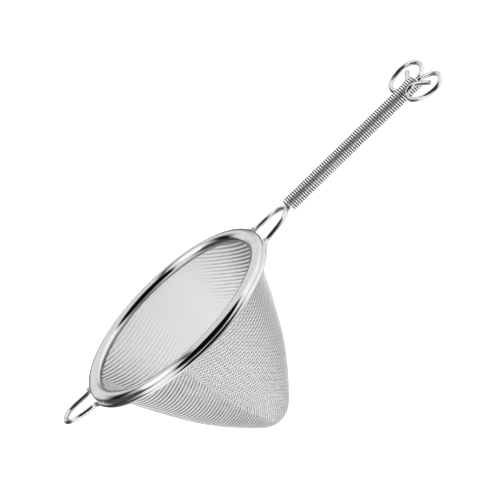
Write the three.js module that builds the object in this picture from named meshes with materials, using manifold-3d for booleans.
// Conical fine-mesh bar strainer, made of stainless steel wire, strip and woven wire cloth.
// Millimetres, +Z up. +X runs along the handle to the finger rings; the basket hangs down -Z.
// Everything is drawn about the centre of the rim, on the plane of its crown, and then moved
// so that the origin lies at the height of the basket's tip, half way along the length.
//
// One length of wire makes the whole frame: finger ring, handle rod, half of the rim,
// the rest loop, the other half of the rim, the other rod and the other finger ring.
// A strip rolled into an open bead sits on it, with a hoop round the mesh's edge beneath it,
// and a close-wound coil slips over both handle rods as the grip.
import * as THREE from 'three';
import * as BufferGeometryUtils from 'three/addons/utils/BufferGeometryUtils.js';
import Module from 'manifold-3d';

// ---- driving dimensions -------------------------------------------------
const MID_X = 39.405;           // middle of the overall length, measured from the rim's centre
const BASKET_TIP_Z = -65.3;     // lowest point of the basket, below the crown of the rim

const WIRE_R = 0.98;            // frame wire radius (nominal 2 mm wire)
const WIRE_SIDES = 8;
const WIRE_RING_R = 44.85;      // centreline radius of the frame wire under the rim
const WIRE_Z = -3.1;            // height of the frame wire's centreline under the rim
const WIRE_JOIN_DEG = 17;       // where the bends meet the rim circle, each side of +X and -X
const WIRE_RIM_STEPS = 16;      // steps between guide points along each half of the rim
const HANDLE_Z = -2.4;          // height of the handle's axis: the legs climb a little to it
const ROD_Y = 1.02;             // half spacing of the two rods inside the grip
const LEG_Y = 8.0;              // half spacing of the two legs where they leave the rim
const REST_Y = 7.2;             // half spacing of the rest loop where it leaves the rim
const REST_TIP_X = -59.0;       // outer end of the rest loop, on the wire's centreline
const REST_RISE = 0.95;         // the loop's tip stands this much higher than the rim wire

const GRIP_X0 = 61.1;           // first turn's centre
const GRIP_TURNS = 70;
const GRIP_PITCH = 1.0;
const GRIP_R = 2.7;             // helix radius at the corners of the faceted turns
const GRIP_STEPS = 10;          // straight runs in one turn
const GRIP_WIRE_R = 0.47;       // section radius at its corners (nominal 1 mm wire)
const GRIP_WIRE_SIDES = 5;

const RIM_SEGMENTS = 60;
const HOOP = { innerR: 41.75, outerR: 42.35, bottomZ: -3.5, topZ: -1.0 };
const MESH_T = 0.5;             // thickness of the woven cloth, wire over wire
const MESH_SEGMENTS = 48;

const WELD_RADII = [0.95, 1.2, 0.95];   // bead radii along X, Y and Z
const WELD_WIRE_GAP = 0.08;             // clearance between a bead and the frame wire

// ---- materials ----------------------------------------------------------
function steel({ name, color, roughness }) {
  const material = new THREE.MeshStandardMaterial({ color, roughness, metalness: 1.0 });
  material.name = name;
  return material;
}
const polishedWire = steel({ name: 'polished_wire', color: 0xd6d7d9, roughness: 0.12 });
const polishedBand = steel({ name: 'polished_band', color: 0xcfd0d2, roughness: 0.1 });
const coilWire = steel({ name: 'coil_wire', color: 0xd2d3d5, roughness: 0.14 });
const cloth = steel({ name: 'woven_cloth', color: 0xb9bbbe, roughness: 0.3 });
const hoopSteel = steel({ name: 'hoop_steel', color: 0xbfc0c3, roughness: 0.25 });
const weldSteel = steel({ name: 'weld_steel', color: 0xc4c4c6, roughness: 0.3 });

// ---- helpers ------------------------------------------------------------
function part(name, geometry, material) {
  const mesh = new THREE.Mesh(geometry, material);
  mesh.name = name;
  return mesh;
}

// A path through fixed nodes: a sweep along it has one ring at each node.
class NodePath extends THREE.Curve {
  constructor(nodes, tangents) {
    super();
    this.nodes = nodes;
    this.tangents = tangents;
  }
  nearestIndex(u) {
    const last = this.nodes.length - 1;
    return Math.min(last, Math.round(u * last));
  }
  getPointAt(u, target = new THREE.Vector3()) {
    return target.copy(this.nodes[this.nearestIndex(u)]);
  }
  getTangentAt(u, target = new THREE.Vector3()) {
    return target.copy(this.tangents[this.nearestIndex(u)]);
  }
}

// Sweeps a regular polygon along a NodePath; the radius is to the polygon's corners.
function sweep(path, radius, sides) {
  const corners = Array.from({ length: sides }, (_, i) => {
    const angle = Math.PI / sides + (2 * Math.PI * i) / sides;
    return new THREE.Vector2(radius * Math.cos(angle), radius * Math.sin(angle));
  });
  const section = new THREE.Shape(corners);
  section.closePath();
  return new THREE.ExtrudeGeometry(section, {
    steps: path.nodes.length - 1,
    bevelEnabled: false,
    extrudePath: path,
    curveSegments: 1,
  });
}

// Turns a line of [radius, height] points about Z. A solid's outline runs anticlockwise,
// with radius to the right and height upwards, so that its faces point outwards.
function lathe(outline, segments) {
  const points = outline.map(([radius, z]) => new THREE.Vector2(radius, z));
  const geometry = new THREE.LatheGeometry(points, segments);
  geometry.rotateX(Math.PI / 2);
  return geometry;
}

const latheClosed = (outline, segments) => lathe([...outline, outline[0]], segments);

const wasm = await Module();
wasm.setup();

function toSolid(geometry) {
  geometry.deleteAttribute('normal');
  geometry.deleteAttribute('uv');
  const merged = BufferGeometryUtils.mergeVertices(geometry, 1e-4);
  return new wasm.Manifold(new wasm.Mesh({
    numProp: 3,
    vertProperties: new Float32Array(merged.attributes.position.array),
    triVerts: new Uint32Array(merged.index.array),
  }));
}

function fromSolid(solid) {
  const { vertProperties, triVerts } = solid.getMesh();
  const geometry = new THREE.BufferGeometry();
  geometry.setAttribute('position',
    new THREE.BufferAttribute(new Float32Array(vertProperties), 3));
  geometry.setIndex(new THREE.BufferAttribute(new Uint32Array(triVerts), 1));
  geometry.computeVertexNormals();
  return geometry;
}

// ---- frame wire ---------------------------------------------------------
// Finger rings as [x, y, height above the handle's axis], each from its cut end inside the
// ring, past the side of the grip, round the ring and in to the rod.
const RING_NEAR = [ // on the -Y side
  [132.9, -11.2, -0.1], [131.8, -9.2, 0.35], [130.5, -7.1, 0.9], [128.8, -5.1, 1.35],
  [127.0, -4.25, 1.55], [125.4, -4.45, 1.35], [124.1, -5.4, 0.7], [123.35, -7.3, -0.2],
  [123.8, -9.6, -0.9], [125.4, -12.0, -1.4], [127.8, -13.6, -1.75], [130.5, -14.4, -1.95],
  [133.4, -14.3, -1.95], [135.9, -12.9, -1.7], [137.5, -10.3, -1.3], [137.8, -7.4, -0.9],
  [136.9, -5.0, -0.6], [135.3, -3.15, -0.35], [133.7, -1.8, -0.12], [132.4, -1.1, 0],
];
const RING_FAR = [ // on the +Y side, a little wider
  [132.0, 11.0, 1.35], [131.0, 8.9, 1.05], [129.4, 6.8, 0.65], [127.3, 5.3, 0.25],
  [125.4, 4.95, 0.0], [123.9, 5.7, 0.1], [122.7, 7.7, 0.55], [122.75, 10.1, 1.2],
  [124.0, 12.3, 1.8], [126.0, 13.8, 2.3], [128.5, 14.6, 2.55], [130.9, 14.8, 2.65],
  [133.4, 14.2, 2.55], [135.7, 12.6, 2.25], [137.1, 10.2, 1.8], [137.3, 7.3, 1.2],
  [136.6, 4.9, 0.75], [135.2, 3.1, 0.4], [133.7, 1.8, 0.14], [132.4, 1.1, 0],
];
// One leg from the grip to the rim circle: x, distance from the XZ plane, and the share of
// the climb from the rim wire to the handle's axis.
const LEG = [
  [131.0, ROD_Y, 1], [124, ROD_Y, 1], [112, ROD_Y, 1], [100, ROD_Y, 1], [88, ROD_Y, 1],
  [76, ROD_Y, 1], [66, ROD_Y, 1], [61.6, ROD_Y, 1], [60.4, 1.25, 1], [59.1, 2.45, 0.98],
  [57.7, 4.15, 0.94], [55.7, 5.75, 0.84], [52.6, 6.9, 0.6], [49.2, 7.5, 0.3],
  [46.8, LEG_Y, 0.12], [45.15, 8.75, 0.04], [43.95, 10.4, 0],
];
// Half of the rest loop, from the rim circle out towards its tip: x, distance from the
// XZ plane, and the share of REST_RISE.
const REST = [
  [-43.95, 10.0, 0], [-45.2, 8.1, 0.04], [-46.9, REST_Y, 0.12], [-50.2, 6.75, 0.4],
  [-53.9, 6.1, 0.75], [-56.6, 4.85, 0.93], [-58.4, 2.6, 1],
];

// Guide points from a ring's cut end to just short of the rest loop's tip.
// The side is -1 for -Y and 1 for +Y.
function frameHalf(ring, side) {
  const points = ring.map(([x, y, z]) => new THREE.Vector3(x, y, HANDLE_Z + z));
  const addRun = (table, rise) => {
    for (const [x, y, share] of table) {
      points.push(new THREE.Vector3(x, side * y, WIRE_Z + share * rise));
    }
  };
  addRun(LEG, HANDLE_Z - WIRE_Z);
  const stepDeg = (180 - 2 * WIRE_JOIN_DEG) / WIRE_RIM_STEPS;
  for (let i = 0; i <= WIRE_RIM_STEPS; i++) {
    const angle = THREE.MathUtils.degToRad(side * (WIRE_JOIN_DEG + i * stepDeg));
    points.push(new THREE.Vector3(
      WIRE_RING_R * Math.cos(angle), WIRE_RING_R * Math.sin(angle), WIRE_Z));
  }
  addRun(REST, REST_RISE);
  return points;
}

// Places nodes on a smooth curve where it has turned or run far enough.
function nodesOn(guidePoints, { maxTurnDeg, maxRun, minLastRun, samplesPerPoint }) {
  const curve = new THREE.CatmullRomCurve3(guidePoints, false, 'centripetal');
  const count = guidePoints.length * samplesPerPoint;
  const dense = Array.from({ length: count + 1 }, (_, i) => curve.getPoint(i / count));
  const direction = (from, to) => dense[to].clone().sub(dense[from]).normalize();
  const nodes = [dense[0]];
  const tangents = [direction(0, 1)];
  let turned = 0;
  let run = 0;
  for (let i = 1; i < count; i++) {
    const before = dense[i].clone().sub(dense[i - 1]);
    const after = dense[i + 1].clone().sub(dense[i]);
    run += before.length();
    turned += before.angleTo(after);
    if (turned > THREE.MathUtils.degToRad(maxTurnDeg) || run > maxRun) {
      nodes.push(dense[i]);
      tangents.push(direction(i - 1, i + 1));
      turned = 0;
      run = 0;
    }
  }
  // A node too close to the end gives way to the end itself.
  if (nodes[nodes.length - 1].distanceTo(dense[count]) < minLastRun) {
    nodes.pop();
    tangents.pop();
  }
  nodes.push(dense[count]);
  tangents.push(direction(count - 1, count));
  return new NodePath(nodes, tangents);
}

const framePath = nodesOn([
  ...frameHalf(RING_NEAR, -1),
  new THREE.Vector3(REST_TIP_X, 0, WIRE_Z + REST_RISE),
  ...frameHalf(RING_FAR, 1).reverse(),
], { maxTurnDeg: 17, maxRun: 9, minLastRun: 0.6, samplesPerPoint: 40 });

// ---- rim band: 0.5 mm strip rolled to an open bead ----------------------
// [radius, height] of the outer face from the skirt inside the mouth, over the flat crown,
// to the outer lip; then the inner face back. Runs clockwise.
const BAND_OUTLINE = [
  [39.45, -3.46], [39.08, -2.95], [38.93, -2.45], [38.93, -1.89], [39.12, -1.38],
  [39.45, -0.94], [39.91, -0.57], [40.52, -0.26], [41.1, -0.07], [41.45, 0], [42.5, 0],
  [42.85, -0.08], [43.38, -0.26], [43.99, -0.57], [44.45, -0.94], [44.78, -1.38],
  [44.95, -1.75], [45.0, -2.0],
  [44.5, -2.0], [44.42, -1.79], [44.11, -1.3], [43.66, -0.94], [42.99, -0.65],
  [42.4, -0.52], [41.5, -0.52], [40.91, -0.65], [40.24, -0.94], [39.74, -1.35],
  [39.48, -1.79], [39.42, -2.3], [39.55, -2.75], [39.83, -3.12],
];
const rimBand = () => latheClosed([...BAND_OUTLINE].reverse(), RIM_SEGMENTS);

// ---- hoop round the cloth's edge, inside the band -----------------------
function meshHoop() {
  const { innerR, outerR, bottomZ, topZ } = HOOP;
  return latheClosed(
    [[innerR, bottomZ], [outerR, bottomZ], [outerR, topZ], [innerR, topZ]], RIM_SEGMENTS);
}

// ---- basket of woven cloth, pressed to a rounded cone -------------------
// Outside of the cloth as [radius, height], from the rim down towards the tip.
const BASKET_SIDE = [
  [41.3, -1.3], [41.25, -3.5], [40.6, -4.8], [39.5, -7.0], [36.6, -14.0], [32.5, -23.4],
  [27.5, -33.6], [24.8, -38.6], [22.1, -43.0], [19.0, -47.6], [15.7, -52.1],
  [10.5, -58.8], [8.1, -61.5], [5.6, -63.6], [2.9, -64.85],
];
function meshBasket() {
  // The inside is offset square to the line between each point's neighbours.
  const inside = BASKET_SIDE.map(([radius, z], i) => {
    const above = BASKET_SIDE[Math.max(0, i - 1)];
    const below = BASKET_SIDE[Math.min(BASKET_SIDE.length - 1, i + 1)];
    const dr = below[0] - above[0];
    const dz = below[1] - above[1];
    const length = Math.hypot(dr, dz);
    return [radius + (dz / length) * MESH_T, z - (dr / length) * MESH_T];
  });
  inside[0][1] = BASKET_SIDE[0][1]; // keeps the top edge level
  return lathe([
    [0, BASKET_TIP_Z], ...[...BASKET_SIDE].reverse(), ...inside, [0, BASKET_TIP_Z + MESH_T],
  ], MESH_SEGMENTS);
}

// ---- grip: close-wound coil on both rods --------------------------------
function gripCoil() {
  const nodes = [];
  const tangents = [];
  for (let i = 0; i <= GRIP_TURNS * GRIP_STEPS; i++) {
    const angle = (2 * Math.PI * i) / GRIP_STEPS;
    const y = GRIP_R * Math.cos(angle);
    const z = GRIP_R * Math.sin(angle);
    nodes.push(new THREE.Vector3(GRIP_X0 + (GRIP_PITCH * i) / GRIP_STEPS, y, z));
    tangents.push(new THREE.Vector3(GRIP_PITCH / (2 * Math.PI), -z, y).normalize());
  }
  const coil = sweep(new NodePath(nodes, tangents), GRIP_WIRE_R, GRIP_WIRE_SIDES);
  return coil.translate(0, 0, HANDLE_Z);
}

// ---- weld beads where the legs and the rest loop pass under the band ----
// [radius, height] of a slightly thickened band, cut out of the beads. Runs clockwise.
const BAND_CUTTER_OUTLINE = [
  [38.75, -3.6], [38.75, -1.9], [39.4, -0.75], [40.4, -0.15], [41.3, 0.1], [42.6, 0.1],
  [43.5, -0.13], [44.2, -0.5], [44.7, -0.95], [45.0, -1.4], [45.1, -2.1],
  [44.4, -2.1], [44.0, -1.4], [43.2, -0.85], [42.0, -0.7], [41.0, -0.8], [40.1, -1.2],
  [39.65, -2.0], [39.9, -3.6],
];
// Centres of the beads; each starts as an ellipsoid level with the top of the wire.
const WELDS = [
  { name: 'weld_handle_near', x: 45.45, y: -8.6 },
  { name: 'weld_handle_far', x: 45.45, y: 8.6 },
  { name: 'weld_rest_near', x: -45.5, y: -8.0 },
  { name: 'weld_rest_far', x: -45.5, y: 8.0 },
];
const bandCutter = toSolid(latheClosed([...BAND_CUTTER_OUTLINE].reverse(), RIM_SEGMENTS));
const wireCutter = toSolid(sweep(framePath, WIRE_R + WELD_WIRE_GAP, WIRE_SIDES));

function weldBead({ name, x, y }) {
  const blob = new THREE.SphereGeometry(1, 12, 8);
  blob.scale(...WELD_RADII);
  blob.translate(x, y, WIRE_Z + WIRE_R);
  const pieces = toSolid(blob).subtract(wireCutter).subtract(bandCutter).decompose();
  // The cuts can leave loose scraps: only the largest piece is kept.
  const [largest] = pieces.sort((a, b) => b.volume() - a.volume());
  return part(name, fromSolid(largest), weldSteel);
}

// ---- assembly -----------------------------------------------------------
const strainer = new THREE.Group();
strainer.name = 'mesh_strainer';
strainer.add(
  part('frame_wire', sweep(framePath, WIRE_R, WIRE_SIDES), polishedWire),
  part('rim_band', rimBand(), polishedBand),
  part('mesh_hoop', meshHoop(), hoopSteel),
  part('mesh_basket', meshBasket(), cloth),
  part('grip_coil', gripCoil(), coilWire),
  ...WELDS.map(weldBead),
);
for (const { geometry } of strainer.children) geometry.translate(-MID_X, 0, -BASKET_TIP_Z);
export default strainer;
